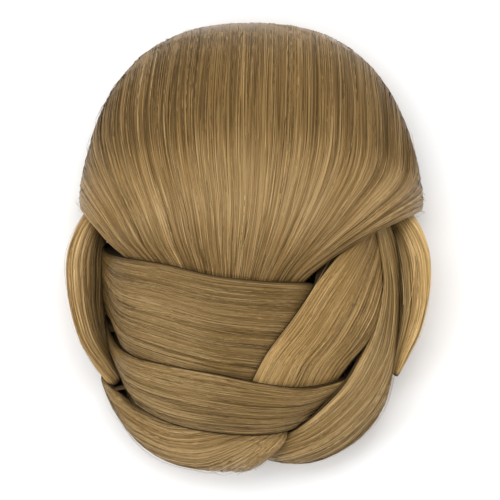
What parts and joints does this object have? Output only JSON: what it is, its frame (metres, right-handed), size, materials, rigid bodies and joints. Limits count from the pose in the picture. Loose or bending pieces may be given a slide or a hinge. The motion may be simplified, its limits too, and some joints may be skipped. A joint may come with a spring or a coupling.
{
  "type": "top knot hairpiece",
  "caption": "Padded chignon of long straight hair swept over a hollow net cap, with folded wraps across its lower half and a loop at each side.",
  "frame": {"origin": "centre of the bounding box in plan, on the plane of the cap's hem", "axes": "+Z out of the wearer's head, from the hem to the front of the hair; +Y along the piece's length, from the folded wraps to the rounded crown end; +X to the right as its front is seen with +Y up"},
  "size_m": [0.1285, 0.1601, 0.0609],
  "materials": {
    "net_cap": "matte net",
    "crown_hair": "satin hair",
    "left_loop_hair": "satin hair",
    "right_loop_hair": "satin hair",
    "upper_hair": "satin hair",
    "diagonal_hair": "satin hair",
    "lower_hair": "satin hair",
    "outer_hair": "satin hair",
    "bottom_hair": "satin hair",
    "comb": "satin"
  },
  "bodies": {
    "root": {"base_cap": "net_cap", "crown_sweep": "crown_hair", "left_loop": "left_loop_hair", "right_loop": "right_loop_hair", "upper_wrap": "upper_hair", "diagonal_wrap": "diagonal_hair", "lower_wrap": "lower_hair", "outer_wrap": "outer_hair", "bottom_wrap": "bottom_hair", "comb": "comb"}
  },
  "joints": []
}
